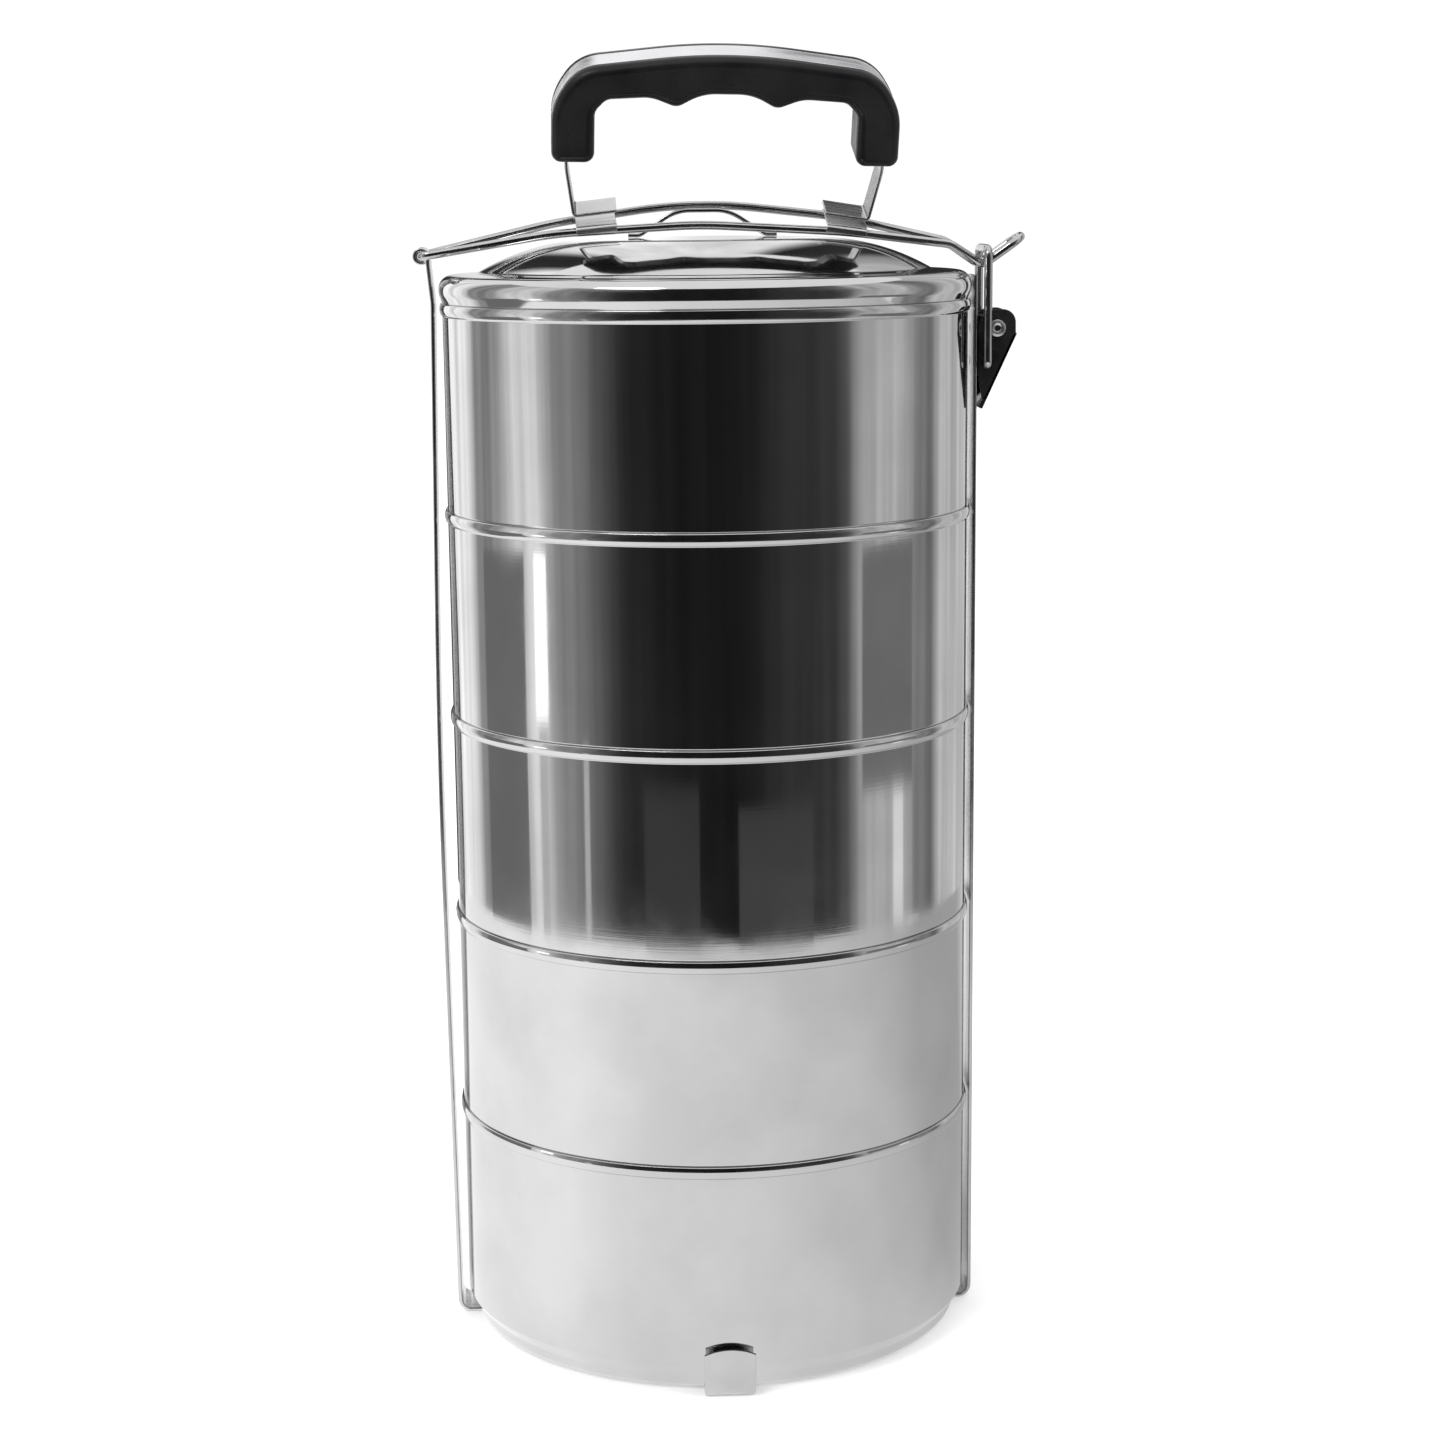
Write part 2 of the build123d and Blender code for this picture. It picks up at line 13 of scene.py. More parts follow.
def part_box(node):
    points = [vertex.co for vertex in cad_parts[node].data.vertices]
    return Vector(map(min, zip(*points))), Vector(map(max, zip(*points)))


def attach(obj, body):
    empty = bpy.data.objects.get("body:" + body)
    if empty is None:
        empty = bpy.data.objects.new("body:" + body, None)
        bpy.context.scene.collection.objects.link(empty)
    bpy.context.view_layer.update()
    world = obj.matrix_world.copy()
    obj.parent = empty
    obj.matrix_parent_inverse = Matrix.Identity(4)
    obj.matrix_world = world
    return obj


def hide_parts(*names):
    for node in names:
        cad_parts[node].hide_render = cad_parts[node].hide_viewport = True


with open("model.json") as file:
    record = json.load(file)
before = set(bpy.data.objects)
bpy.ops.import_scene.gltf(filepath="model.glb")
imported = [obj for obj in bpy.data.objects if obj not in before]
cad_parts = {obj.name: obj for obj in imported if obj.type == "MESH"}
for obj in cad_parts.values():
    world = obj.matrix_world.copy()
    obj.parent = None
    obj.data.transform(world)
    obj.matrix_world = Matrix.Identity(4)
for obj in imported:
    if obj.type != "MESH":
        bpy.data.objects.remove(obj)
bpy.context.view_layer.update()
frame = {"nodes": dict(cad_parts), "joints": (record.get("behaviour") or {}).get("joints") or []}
MM = 0.001


def box(node):
    """(lowest corner, highest corner) of a CAD node, in millimetres."""
    low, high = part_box(node)
    return low / MM, high / MM


def pivot(joint):
    """Place of a hinge, in millimetres."""
    found = [j for j in frame["joints"] if j["name"] == joint][0]
    return Vector(found["pos_m"]) / MM


# --- sizes, in millimetres ------------------------------------------------------------------------
tiers = 5
sheet = 0.7
bead_reach = 0.9
bead_height = 3.6
foot_inset = 3.0
bevel_height = 4.4
nest_depth = 7.9
recess_radius = 50.0
recess_height = 2.6
seat_gap = 0.25
bowl_radius = box("bowl_1")[1].x - bead_reach
foot_radius = bowl_radius - foot_inset
tier_pitch = box("bowl_2")[0].z - box("bowl_1")[0].z
first_shoulder = box("bowl_1")[0].z + nest_depth

lid_plug_depth = 5.2
lid_bead_height = 8.0
lid_step_radius = 69.5
lid_plateau_radius = 36.0
lid_height = 18.9
lid_plateau_drop = 0.6
lid_handle_foot = 3.5
lid_handle_rise = 7.2
lid_handle_crest = 0.42
lid_bead_radius = box("lid")[1].x
seat = box("lid")[0].z + lid_plug_depth

strap_thickness = 1.2
strap_width = box("side_strap")[1].y - box("side_strap")[0].y
strap_edge = 0.45
strap_corner = 3.8
strap_top_drop = 7.9
left_strap_x = -82.7
right_strap_x = 82.0
left_bow = 2.0
tab_reach = box("cross_strap")[1].y - strap_thickness / 2
tab_height = box("cross_strap")[1].z
tab_crown = 1.6

wire_radius = 1.3
eye = pivot("bail_swing")
eye_path_radius = 1.95
eye_roll = 290.0
bail_spread = 10.6
loop_spread = 5.0
loop_end_x = box("bail_wire")[1].x - wire_radius

# Each wire's crown over the hinge line, the shares of it climbed on its left and right runs,
# and how far its end drop rises.
front_wire = (8.6, 0.74, 0.70, 1.9)
rear_wire = (15.4, 0.60, 0.67, 2.7)

hinge = pivot("lever_turn")
hook = pivot("link_turn")
latch_sheet = 1.2
lever_inner = 6.5
lever_outer = 7.7
bracket_half_width = 6.2
link_y = box("latch_link")[1].y - wire_radius
crossbar_height = box("latch_link")[1].z - wire_radius

grip_centre_x = 5.2
grip_base_rise = 9.5
grip_lean = 17.0
grip_tilt = 1.4
grip_length = 103.6
grip_depth = 20.0
grip_crown = 52.2
grip_leg_bottom = 19.8
grip_leg_width = 12.8
grip_edge = 2.8
inlay_width = 11.5
inlay_thickness = 1.4
inlay_low = 31.7
handle_strip_width = 13.0
handle_strip_thickness = 1.0
clip_length = 12.2
clip_left_x = -33.0
clip_right_x = 42.5
clip_sheet = 0.8
handle_place = (
    Matrix.Translation((grip_centre_x, 0, eye.z + grip_base_rise))
    @ Matrix.Rotation(math.radians(grip_lean), 4, "X")
    @ Matrix.Rotation(math.radians(grip_tilt), 4, "Y")
)


# --- shapes ---------------------------------------------------------------------------------------
def corner_arc(before, corner, after, radius, step, chord):
    """Points of the arc that rounds one corner of a path."""
    a = (before - corner).normalized()
    b = (after - corner).normalized()
    turn = math.pi - a.angle(b)
    if radius <= 0 or turn < 1e-4:
        return [corner]
    reach = radius * math.tan(turn / 2)
    centre = corner + (a + b).normalized() * (radius / math.cos(turn / 2))
    start = corner + a * reach - centre
    end = corner + b * reach - centre
    count = max(1, math.ceil(math.degrees(turn) / step), math.ceil(radius * turn / chord))
    out = []
    for i in range(count + 1):
        share = i / count
        arm = start * math.sin((1 - share) * turn) + end * math.sin(share * turn)
        out.append(centre + arm / math.sin(turn))
    return out


def rounded(points, radii, step=6.0, chord=2.5, close=False):
    """Points of a path whose corners are rounded. A radius of 0 keeps a corner sharp."""
    corners = [Vector(p) for p in points]
    if close:
        corners = [corners[-1], *corners, corners[0]]
    out = []
    for before, corner, after, radius in zip(corners, corners[1:], corners[2:], radii):
        out += corner_arc(before, corner, after, radius, step, chord)
    if not close:
        out = [corners[0], *out, corners[-1]]
    kept = [out[0]]
    for point in out[1:]:
        if (point - kept[-1]).length > 1e-3:
            kept.append(point)
    if close and (kept[0] - kept[-1]).length < 1e-3:
        kept.pop()
    return kept


def circle(radius, count=20):
    """Closed section of a round wire."""
    turns = [2 * math.pi * i / count for i in range(count)]
    return [(radius * math.cos(a), radius * math.sin(a)) for a in turns]


def bar(width, thickness, edge):
    """Closed section of a flat strip with rounded edges, its width first."""
    w, t = width / 2, thickness / 2
    corners = [(-w, -t), (w, -t), (w, t), (-w, t)]
    return [tuple(p) for p in rounded(corners, [edge] * 4, step=22.5, close=True)]


def sweep(path, section, across=None, widths=None):
    """A section carried along a path. Its first axis keeps to across, or turns as little as it can."""
    count = len(section)
    last = len(path) - 1
    side = Vector(across) if across else None
    verts = []
    for i, point in enumerate(path):
        along = (path[min(i + 1, last)] - path[max(i - 1, 0)]).normalized()
        if side is None:
            side = along.orthogonal()
        flat = (side - along * side.dot(along)).normalized()
        side = Vector(across) if across else flat
        up = along.cross(flat)
        share = widths[i] if widths else 1.0
        verts += [point + flat * (u * share) + up * v for u, v in section]
    faces = []
    for i in range(last):
        for k in range(count):
            m = (k + 1) % count
            faces.append((i * count + k, i * count + m, (i + 1) * count + m, (i + 1) * count + k))
    faces.append(tuple(range(count - 1, -1, -1)))
    faces.append(tuple(last * count + k for k in range(count)))
    return verts, faces


def lathe(outline, segments=256):
    """An outline of (radius, height) points, from the axis back to the axis, turned about Z."""
    verts = []
    rings = []
    for r, z in outline:
        if r < 1e-6:
            rings.append([len(verts)] * segments)
            verts.append(Vector((0, 0, z)))
            continue
        rings.append(list(range(len(verts), len(verts) + segments)))
        for k in range(segments):
            a = 2 * math.pi * k / segments
            verts.append(Vector((r * math.cos(a), r * math.sin(a), z)))
    faces = []
    for low, high in zip(rings, rings[1:]):
        for k in range(segments):
            m = (k + 1) % segments
            face = list(dict.fromkeys((low[k], low[m], high[m], high[k])))
            if len(face) > 2:
                faces.append(tuple(face))
    return verts, faces


def inward_normals(outline):
    """Unit vectors into a closed outline, lengthened at its corners so that an inset keeps its width."""
    count = len(outline)
    area = sum(
        outline[i - 1][0] * outline[i][1] - outline[i][0] * outline[i - 1][1] for i in range(count)
    )
    turn = 1 if area > 0 else -1
    out = []
    for i in range(count):
        a = (Vector(outline[i]) - Vector(outline[i - 1])).normalized()
        b = (Vector(outline[(i + 1) % count]) - Vector(outline[i])).normalized()
        middle = (a + b).normalized()
        scale = 1 / max(0.5, middle.dot(a))
        out.append(Vector((-middle.y, middle.x)) * turn * scale)
    return out


def slab(outline, stations, dips=None):
    """A closed outline in XZ, carried along Y. Each station is (y, inset, share of each point's dip)."""
    count = len(outline)
    normals = inward_normals(outline)
    dips = dips or [0] * count
    verts = []
    for y, inset, share in stations:
        for point, normal, dip in zip(outline, normals, dips):
            moved = Vector(point) + normal * (inset + share * dip)
            verts.append(Vector((moved.x, y, moved.y)))
    faces = []
    for i in range(len(stations) - 1):
        for k in range(count):
            m = (k + 1) % count
            faces.append((i * count + k, i * count + m, (i + 1) * count + m, (i + 1) * count + k))
    faces.append(tuple(range(count - 1, -1, -1)))
    faces.append(tuple((len(stations) - 1) * count + k for k in range(count)))
    return verts, faces


def round_stations(low, high, edge, steps=4):
    """Stations of a slab whose two rims are rounded."""
    turns = [math.pi / 2 * i / steps for i in range(steps + 1)]
    rim = [(edge * (1 - math.sin(a)), edge * (1 - math.cos(a))) for a in reversed(turns)]
    front = [(low + depth, inset, 0) for depth, inset in rim]
    back = [(high - depth, inset, 0) for depth, inset in reversed(rim)]
    return front + back


def joined(*shapes):
    """Several shapes as one."""
    verts, faces = [], []
    for more_verts, more_faces in shapes:
        start = len(verts)
        verts += more_verts
        faces += [tuple(start + i for i in face) for face in more_faces]
    return verts, faces


def placed(shape, matrix):
    """A shape moved by a matrix."""
    verts, faces = shape
    return [matrix @ v for v in verts], faces


def piece(name, shape, body, slot, material, *nodes, sharp=35.0):
    """A finished object that rides on a body and stands for CAD nodes."""
    verts, faces = shape
    mesh = bpy.data.meshes.new(name)
    mesh.from_pydata([v * MM for v in verts], [], faces)
    mesh.validate()
    mesh.update()
    mesh.shade_smooth()
    mesh.set_sharp_from_angle(angle=math.radians(sharp))
    mesh.materials.append(material)
    obj = bpy.data.objects.new(name, mesh)
    bpy.context.scene.collection.objects.link(obj)
    fix_normals(mesh)
    modifier = obj.modifiers.new("Even shading", "WEIGHTED_NORMAL")
    modifier.keep_sharp = True
    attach(obj, body)
    if nodes:
        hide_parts(*nodes)
    return obj


def fix_normals(mesh):
    """Turns every face outwards."""
    shell = bmesh.new()
    shell.from_mesh(mesh)
    bmesh.ops.recalc_face_normals(shell, faces=shell.faces)
    shell.to_mesh(mesh)
    shell.free()


# --- materials ------------------------------------------------------------------------------------
class Look:
    """A procedural material that is built up from noise in the piece's own coordinates."""

    def __init__(self, name, **sockets):
        self.material = bpy.data.materials.new(name)
        self.material.use_nodes = True
        self.tree = self.material.node_tree
        self.shader = self.tree.nodes["Principled BSDF"]
        for socket, value in sockets.items():
            self.shader.inputs[socket.replace("_", " ")].default_value = value
        self.place = self.node("ShaderNodeTexCoord").outputs["Object"]
        self.normal = None

    def node(self, kind):
        return self.tree.nodes.new(kind)

    def noise(self, scale, stretch=(1, 1, 1), detail=3.0):
        """Noise of so many lumps a metre, stretched along the axes."""
        mapping = self.node("ShaderNodeMapping")
        mapping.inputs["Scale"].default_value = stretch
        self.tree.links.new(self.place, mapping.inputs["Vector"])
        noise = self.node("ShaderNodeTexNoise")
        noise.inputs["Scale"].default_value = scale
        noise.inputs["Detail"].default_value = detail
        self.tree.links.new(mapping.outputs["Vector"], noise.inputs["Vector"])
        return noise.outputs["Fac"]

    def between(self, value, low, high, start=0.35, stop=0.65):
        """Maps noise from its usual range to low..high."""
        ramp = self.node("ShaderNodeMapRange")
        ramp.inputs["From Min"].default_value = start
        ramp.inputs["From Max"].default_value = stop
        ramp.inputs["To Min"].default_value = low
        ramp.inputs["To Max"].default_value = high
        self.tree.links.new(value, ramp.inputs["Value"])
        return ramp.outputs["Result"]

    def roughness(self, value, low, high):
        self.tree.links.new(self.between(value, low, high), self.shader.inputs["Roughness"])
        return self

    def tone(self, value, dark, light):
        """Varies the colour between two greys."""
        mix = self.node("ShaderNodeMix")
        mix.data_type = "RGBA"
        mix.inputs["A"].default_value = (*dark, 1)
        mix.inputs["B"].default_value = (*light, 1)
        self.tree.links.new(self.between(value, 0, 1), mix.inputs["Factor"])
        self.tree.links.new(mix.outputs["Result"], self.shader.inputs["Base Color"])
        return self

    def bump(self, value, height):
        """Adds relief of a height in millimetres."""
        bump = self.node("ShaderNodeBump")
        bump.inputs["Distance"].default_value = height * MM
        self.tree.links.new(value, bump.inputs["Height"])
        if self.normal:
            self.tree.links.new(self.normal, bump.inputs["Normal"])
        self.normal = bump.outputs["Normal"]
        self.tree.links.new(self.normal, self.shader.inputs["Normal"])
        return self


def polished_steel():
    """Spun and polished sheet: slightly uneven reflections, faint turning lines and finger smudges."""
    look = Look("polished_steel", Metallic=1.0)
    smudge = look.noise(28, detail=5.0)
    look.tone(smudge, (0.60, 0.60, 0.60), (0.68, 0.68, 0.68))
    look.roughness(look.noise(36, detail=4.0), 0.04, 0.095)
    look.bump(look.noise(13, (1, 1, 0.45), detail=1.0), 0.55)
    look.bump(look.noise(40, (1, 1, 60), detail=2.0), 0.0015)
    return look.material


def brushed_steel(name, grain, light=0.62, low=0.20, high=0.32):
    """Rolled strip with its grain along one axis."""
    look = Look(name, Metallic=1.0)
    look.tone(look.noise(60), (light * 0.88,) * 3, (light,) * 3)
    look.roughness(look.noise(45, grain, detail=5.0), low, high)
    look.bump(look.noise(150, grain, detail=4.0), 0.012)
    return look.material


def bright_wire():
    """Drawn and plated wire with fine draw marks."""
    look = Look("bright_wire", Metallic=1.0)
    look.tone(look.noise(90), (0.48, 0.48, 0.48), (0.60, 0.60, 0.60))
    look.roughness(look.noise(220, (0.2, 1, 1)), 0.12, 0.22)
    look.bump(look.noise(700, (0.1, 1, 1)), 0.006)
    return look.material


def black_enamel():
    """Gloss black stoved enamel with a little orange peel."""
    look = Look("black_enamel", Specular_IOR_Level=0.35)
    look.tone(look.noise(120), (0.006, 0.006, 0.007), (0.014, 0.014, 0.015))
    look.roughness(look.noise(160), 0.18, 0.32)
    look.bump(look.noise(900), 0.01)
    return look.material


def black_plastic():
    """Half-gloss moulded phenolic with a fine moulded grain and worn smoother patches."""
    look = Look("black_plastic", Specular_IOR_Level=0.28)
    look.tone(look.noise(70), (0.004, 0.004, 0.005), (0.009, 0.009, 0.010))
    look.roughness(look.noise(55, detail=5.0), 0.24, 0.38)
    look.bump(look.noise(1400, detail=2.0), 0.010)
    return look.material


def silver_trim():
    """Metallised trim strip, brushed lightly along its length."""
    look = Look("silver_trim", Metallic=0.85)
    look.tone(look.noise(50), (0.74, 0.74, 0.76), (0.84, 0.84, 0.86))
    look.roughness(look.noise(300, (0.08, 1, 1)), 0.22, 0.36)
    look.bump(look.noise(900, (0.06, 1, 1)), 0.008)
    return look.material


steel = polished_steel()
strap_steel = brushed_steel("strap_steel", (1, 30, 1), light=0.66, low=0.16, high=0.28)
plate_steel = brushed_steel("plated_steel", (1, 14, 1), light=0.70, low=0.22, high=0.34)
wire = bright_wire()
enamel = black_enamel()
plastic = black_plastic()
trim = silver_trim()


# --- stack ----------------------------------------------------------------------------------------
def outline_2d(points, radii, step=9.0):
    """Rounded (radius, height) outline with its two ends on the axis."""
    return [(p.x, p.y) for p in rounded(points, radii, step=step, chord=4.0)]


def bowl_outline():
    """Outside up to the rolled rim, then the inside back down to the floor, above the shoulder."""
    bottom = -nest_depth
    floor = bottom + recess_height
    rim = tier_pitch - seat_gap * 0.6
    bead = bowl_radius + bead_reach
    lip = bowl_radius - sheet
    inner_foot = foot_radius - sheet
    points = [
        (0, floor),
        (recess_radius - recess_height, floor),
        (recess_radius, bottom),
        (foot_radius, bottom),
        (foot_radius, -bevel_height),
        (bowl_radius, 0),
        (bowl_radius, tier_pitch - bead_height - bead_reach / 2),
        (bead - 0.3, tier_pitch - bead_height + 0.1),
        (bead, tier_pitch - bead_height + 1.2),
        (bead, rim - 1.2),
        (bead - 0.35, rim - 0.1),
        (bowl_radius - 0.1, rim - 0.05),
        (lip, rim - 1.2),
        (lip, sheet / 2),
        (inner_foot, -bevel_height + sheet / 2),
        (inner_foot, bottom + sheet),
        (recess_radius + sheet / 2, bottom + sheet),
        (recess_radius - recess_height + sheet / 2, floor + sheet),
        (0, floor + sheet),
    ]
    radii = [1.5, 1.5, 2.2, 1.2, 1.4, 0.3, 0.8, 3.0, 3.0, 0.4, 0.2, 0.2, 0.4, 0.8, 1.0, 1.5, 1.0, 1.0]
    return outline_2d(points, radii)


def bowls():
    """Five bowls, each nesting in the one below."""
    outline = bowl_outline()
    for k in range(tiers):
        name = f"bowl_{k + 1}"
        raised = [(r, z + first_shoulder + k * tier_pitch) for r, z in outline]
        piece(f"{name}_shell", lathe(raised), name, "polished_steel", steel, name)


def dome(inset, steps=24):
    """Lid from its step to the crown: an arc that meets the plateau evenly, then the plateau."""
    step_z = lid_bead_height - inset + 0.5
    edge_z = lid_height - inset - lid_plateau_drop
    fall = math.atan(2 * lid_plateau_drop / lid_plateau_radius)
    run = lid_step_radius - lid_plateau_radius
    drop = edge_z - step_z
    chord = math.atan2(drop, run)
    turn = 2 * (chord - fall)
    radius = math.hypot(run, drop) / (2 * math.sin(turn / 2))
    centre = (lid_plateau_radius - radius * math.sin(fall), edge_z - radius * math.cos(fall))
    out = []
    for i in range(steps, -1, -1):
        a = fall + turn * i / steps
        out.append((centre[0] + radius * math.sin(a), centre[1] + radius * math.cos(a)))
    for i in range(7, -1, -1):
        r = lid_plateau_radius * i / 8
        out.append((r, lid_height - inset - lid_plateau_drop * (r / lid_plateau_radius) ** 2))
    return out


def lid_rim(inset):
    """Lid from the bottom of its plug to the step where the dome starts."""
    reach = lid_bead_radius - inset
    points = [
        (foot_radius - inset, -lid_plug_depth),
        (foot_radius - inset, inset / 2 - bevel_height),
        (bowl_radius - inset, inset / 2),
        (reach, inset / 2 + 2.6),
        (reach, lid_bead_height - inset),
        (lid_step_radius, lid_bead_height - inset + 0.5),
    ]
    return outline_2d(points, [0.4, 0.8, 4.0 - inset, 4.2 - inset])


def lid():
    """Domed lid with a rolled bead and a plug that nests in the top bowl."""
    outside = lid_rim(0)[:-1] + dome(0)
    inside = lid_rim(sheet)[:-1] + dome(sheet)
    loop = inside[::-1] + outside
    raised = [(r, z + seat) for r, z in loop]
    piece("lid_shell", lathe(raised), "lid", "polished_steel", steel, "lid")


def lid_handle():
    """Strap arch welded to the plateau."""
    low, high = box("lid_handle")
    centre = (low.x + high.x) / 2
    reach = (high.x - low.x) / 2
    half = reach - lid_handle_foot
    crest = high.z - 0.6
    foot = crest - lid_handle_rise
    stations = [(reach, foot), (half, foot), (half * lid_handle_crest, crest)]
    points = [(centre - out, 0, z) for out, z in stations]
    points += [(centre + out, 0, z) for out, z in reversed(stations)]
    path = rounded(points, [3, 14, 14, 3], chord=1.0)
    shape = sweep(path, bar(9.0, 1.2, 0.4), across=(0, 1, 0))
    piece("lid_handle_arch", shape, "lid", "polished_steel", steel, "lid_handle")


# --- frame ----------------------------------------------------------------------------------------
def side_strap():
    """Strap under the stack and up both sides, its left end rolled outwards into the bail's eye."""
    mid = strap_thickness / 2
    neck = eye.x + eye_path_radius
    points = [
        (right_strap_x, 0, crossbar_height - strap_top_drop),
        (right_strap_x, 0, mid),
        (left_strap_x, 0, mid),
        (left_strap_x - left_bow, 0, eye.z * 0.55),
        (left_strap_x, 0, eye.z - 14),
        (neck, 0, eye.z - 2.5),
        (neck, 0, eye.z),
    ]
    path = rounded(points, [strap_corner, strap_corner, 3500, 12, 8], chord=4.0)
    for i in range(1, 30):
        a = math.radians(eye_roll * i / 29)
        path.append(eye + Vector((math.cos(a), 0, math.sin(a))) * eye_path_radius)
    shape = sweep(path, bar(strap_width, strap_thickness, strap_edge), across=(0, 1, 0))
    piece("side_strap_steel", shape, "frame", "strap_steel", strap_steel, "side_strap")


def crown_widths(steps):
    """(drop, share of the width) down an arched end, from its tip."""
    half = strap_width / 2
    radius = (half * half + tab_crown * tab_crown) / (2 * tab_crown)
    out = []
    for i in range(steps + 1):
        drop = tab_crown * (i / steps) ** 2
        out.append((drop, max(0.03, math.sqrt(2 * radius * drop - drop * drop) / half)))
    return out


def cross_strap():
    """Strap stepped over the side strap, with an arched tab turned up at the front and the back."""
    mid = strap_thickness / 2
    over = strap_width / 2 + 1.0
    top = tab_height - tab_crown
    points = [
        (0, -tab_reach, top),
        (0, -tab_reach, mid),
        (0, -over - 4.0, mid),
        (0, -over, mid + strap_thickness),
        (0, over, mid + strap_thickness),
        (0, over + 4.0, mid),
        (0, tab_reach, mid),
        (0, tab_reach, top),
    ]
    run = rounded(points, [strap_corner, 3, 3, 3, 3, strap_corner])
    tips = crown_widths(10)
    front = [(Vector((0, -tab_reach, tab_height - drop)), share) for drop, share in tips]
    back = [(Vector((0, tab_reach, tab_height - drop)), share) for drop, share in reversed(tips)]
    stations = front[:-1] + [(point, 1.0) for point in run] + back[1:]
    path = [point for point, share in stations]
    widths = [share for point, share in stations]
    shape = sweep(path, bar(strap_width, strap_thickness, strap_edge), (1, 0, 0), widths)
    piece("cross_strap_steel", shape, "frame", "strap_steel", strap_steel, "cross_strap")


# --- latch ----------------------------------------------------------------------------------------
def along_y(shape):
    """A turned shape whose axis is laid from Z to Y."""
    return placed(shape, Matrix.Rotation(math.radians(-90), 4, "X"))


def lever_pin():
    """Tubular rivet with a rolled ring at each end."""
    half = box("lever_pin")[1].y
    inner, outer, ring = 0.9, 1.5, 2.6
    points = [(inner, -half + 0.25), (ring - 0.9, -half), (ring, -half + 0.25), (ring, -half + 0.6)]
    points += [(outer, -half + 0.6)]
    loop = points + [(r, -z) for r, z in reversed(points)]
    rounded_loop = rounded(loop, [0.2] * len(loop), step=30, close=True)
    outline = [(p.x, p.y) for p in rounded_loop]
    verts, faces = lathe(outline + outline[:1], segments=48)
    shape = placed(along_y((verts, faces)), Matrix.Translation((hinge.x, 0, hinge.z)))
    piece("lever_pin_ring", shape, "frame", "plated_steel", plate_steel, "lever_pin")


def latch_bracket():
    """Channel on the right arm, with two ears for the pivot."""
    back = right_strap_x + strap_thickness / 2
    ear_end = hinge.x - back
    side = rounded(
        [(0.2, -6), (ear_end + 3.2, -3.2), (ear_end + 3.2, 3.2), (0.2, 4)], [0.3, 3.0, 3.0, 0.3], close=True
    )
    ears = []
    for low in (-bracket_half_width, bracket_half_width - latch_sheet):
        ears.append(slab(side, round_stations(low, low + latch_sheet, 0.3)))
    plate_side = rounded([(0, -14), (latch_sheet, -14), (latch_sheet, 4), (0, 4)], [0.3] * 4, close=True)
    plate = slab(plate_side, round_stations(-bracket_half_width, bracket_half_width, 0.3))
    shape = placed(joined(plate, *ears), Matrix.Translation((back, 0, hinge.z)))
    piece("latch_bracket_shell", shape, "frame", "black_enamel", enamel, "latch_bracket")


def latch_lever():
    """Two cheeks round the bracket's ears, joined by a slanted outer web."""
    clear = hinge.x - right_strap_x - strap_thickness / 2 - 0.3
    top = clear * 0.98
    heel = Vector((5.8, -2.4))
    tail = Vector((-clear + 1.6, -24.0))
    cheek = rounded(
        [(-top, -14), (-top, top), (top, top), heel, tail],
        [4.0, top * 0.97, top * 0.7, 1.0, 0.8],
        step=8,
        close=True,
    )
    unit = (heel - tail).normalized()
    inwards = Vector((-unit.y, unit.x)) * latch_sheet
    web_top = heel + unit * 0.9
    web_end = tail - unit * 0.6
    web = rounded([web_top, web_end, web_end + inwards, web_top + inwards], [0.4] * 4, close=True)
    shapes = [slab(web, round_stations(-lever_outer, lever_outer, 0.35))]
    for low in (-lever_outer, lever_inner):
        shapes.append(slab(cheek, round_stations(low, low + latch_sheet, 0.35)))
    shape = placed(joined(*shapes), Matrix.Translation((hinge.x, 0, hinge.z)))
    piece("latch_lever_shell", shape, "lever", "black_enamel", enamel, "latch_lever")


def latch_link():
    """Wire link, hooked into the lever's cheeks, with its crossbar over the bail."""
    end = lever_inner - 0.1
    points = [
        (hook.x, -end, hook.z),
        (hook.x, -link_y, hook.z),
        (hook.x, -link_y, crossbar_height),
        (hook.x, link_y, crossbar_height),
        (hook.x, link_y, hook.z),
        (hook.x, end, hook.z),
    ]
    shape = sweep(rounded(points, [1.6, 2.7, 2.7, 1.6]), circle(wire_radius))
    piece("latch_link_wire", shape, "link", "bright_wire", wire, "latch_link")


# --- bail and handle ------------------------------------------------------------------------------
def bail_side(side):
    """Corner points of one long wire, from the eye to the notch. The front's side is -1."""
    arch, left, right, drop_rise = front_wire if side < 0 else rear_wire
    wide = side * bail_spread
    return [
        (eye.x, wide, eye.z),
        (eye.x + 40, wide, eye.z + arch * left),
        (-2, wide, eye.z + arch),
        (42, wide, eye.z + arch * right),
        (loop_end_x - 22.3, side * (loop_spread + 1.6), eye.z + drop_rise),
        (right_strap_x + 2.5, side * loop_spread, eye.z - 4.5),
    ]


def bail_wire():
    """One wire: through the eye, along both sides, down to the notch and round the thumb loop."""
    loop_z = eye.z + 3.9
    tip = [(loop_end_x, -loop_spread, loop_z), (loop_end_x, loop_spread, loop_z)]
    ends = [(eye.x, -0.4, eye.z), (eye.x, 0.4, eye.z)]
    points = [ends[0], *bail_side(-1), *tip, *reversed(bail_side(1)), ends[1]]
    side_radii = [2.7, 120, 150, 80, 8, 2.6]
    radii = side_radii + [loop_spread - 0.3] * 2 + side_radii[::-1]
    shape = sweep(rounded(points, radii, chord=2.0), circle(wire_radius, 24))
    piece("bail_wire_bent", shape, "bail", "bright_wire", wire, "bail_wire")


